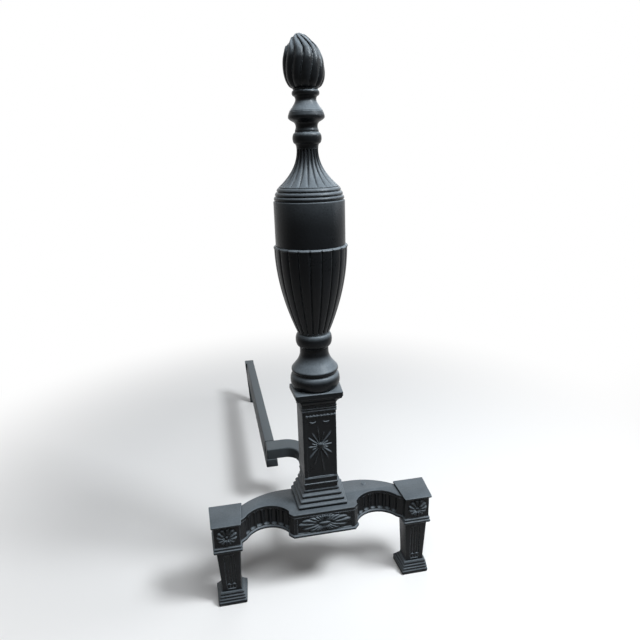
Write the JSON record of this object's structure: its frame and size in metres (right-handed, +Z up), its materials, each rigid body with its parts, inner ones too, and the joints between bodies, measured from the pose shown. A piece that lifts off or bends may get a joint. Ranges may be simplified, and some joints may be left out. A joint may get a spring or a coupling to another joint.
{
  "type": "andiron",
  "caption": "Tall cast-iron andiron: bridge on pilaster legs, square pedestal, fluted urn with flame finial, and an offset billet bar with a rear leg that holds logs off the hearth.",
  "frame": {"origin": "on the hearth, at the centre of the part's footprint box", "axes": "+Z up, +Y from the decorated front towards the rear leg, +X to the right seen from the room"},
  "size_m": [0.2934, 0.602, 0.681],
  "materials": {
    "black_iron": "satin black stove paint over fine sand-cast grain",
    "bar_iron": "thin matt black paint, paler and drier than the front",
    "plain_steel": "oiled dark steel hardware"
  },
  "bodies": {
    "root": {"deck": "black_iron", "centre_block": "black_iron", "centre_rosette": "black_iron", "left_arm": "black_iron", "right_arm": "black_iron", "left_block": "black_iron", "right_block": "black_iron", "left_rosette": "black_iron", "right_rosette": "black_iron", "left_cap": "black_iron", "right_cap": "black_iron", "left_necking": "black_iron", "right_necking": "black_iron", "left_leg": "black_iron", "right_leg": "black_iron", "left_foot": "black_iron", "right_foot": "black_iron", "plinth": "black_iron", "pedestal": "black_iron", "sunburst_panel": "black_iron", "pedestal_cap": "black_iron", "urn_foot": "black_iron", "urn_collar": "black_iron", "urn_cup": "black_iron", "urn_band": "black_iron", "urn_shoulder": "black_iron", "finial_neck": "black_iron", "flame": "black_iron", "tie_rod": "plain_steel", "rod_nut": "plain_steel", "rod_washer": "plain_steel", "bar_arm": "bar_iron", "bar_pin": "bar_iron", "billet_bar": "bar_iron", "rear_leg": "bar_iron"}
  },
  "joints": []
}
